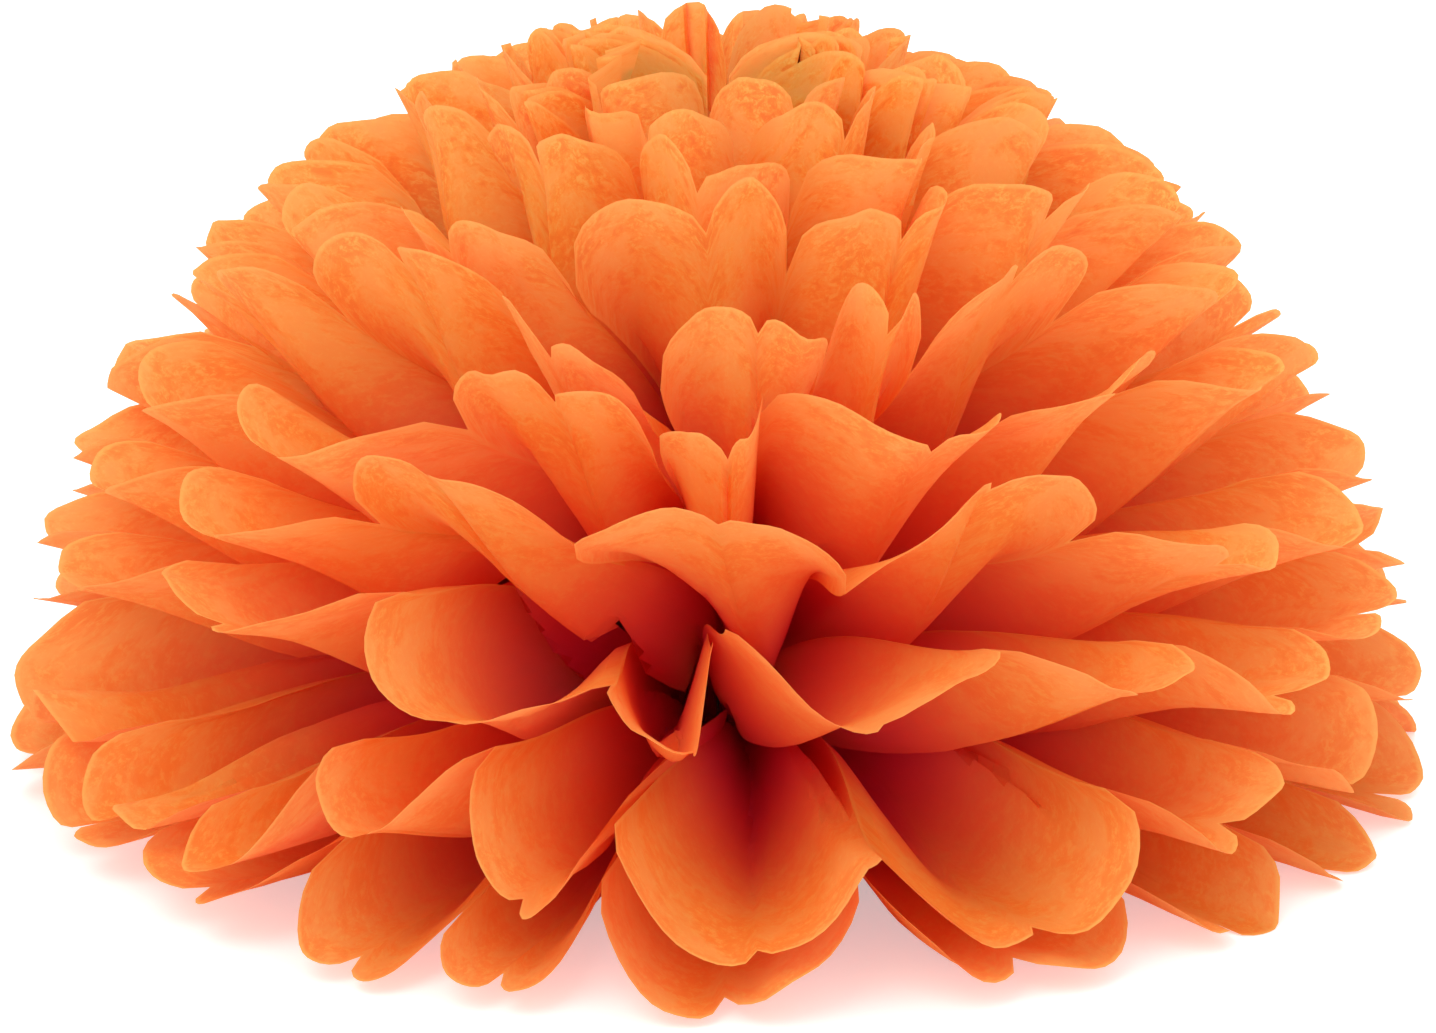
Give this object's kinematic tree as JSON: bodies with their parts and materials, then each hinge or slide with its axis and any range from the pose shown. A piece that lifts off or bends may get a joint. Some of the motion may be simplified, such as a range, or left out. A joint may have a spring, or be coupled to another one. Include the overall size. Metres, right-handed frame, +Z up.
{
  "type": "tissue paper pom pom",
  "caption": "Half-ball paper pom pom: pleated tissue sheets with round-cut ends, tied at the waist with a wire and fanned out, resting on its flat side.",
  "frame": {"origin": "middle of the pom pom where it stands on the table", "axes": "+Z up through the dome, -Y towards the front, where the two fans of petals meet"},
  "size_m": [0.3552, 0.3553, 0.1832],
  "materials": {
    "tissue": "matte",
    "wire": "satin"
  },
  "bodies": {
    "root": {"sheet_01": "tissue", "sheet_02": "tissue", "sheet_03": "tissue", "sheet_04": "tissue", "sheet_05": "tissue", "sheet_06": "tissue", "sheet_07": "tissue", "sheet_08": "tissue", "sheet_09": "tissue", "sheet_10": "tissue", "wire_tie": "wire"}
  },
  "joints": []
}
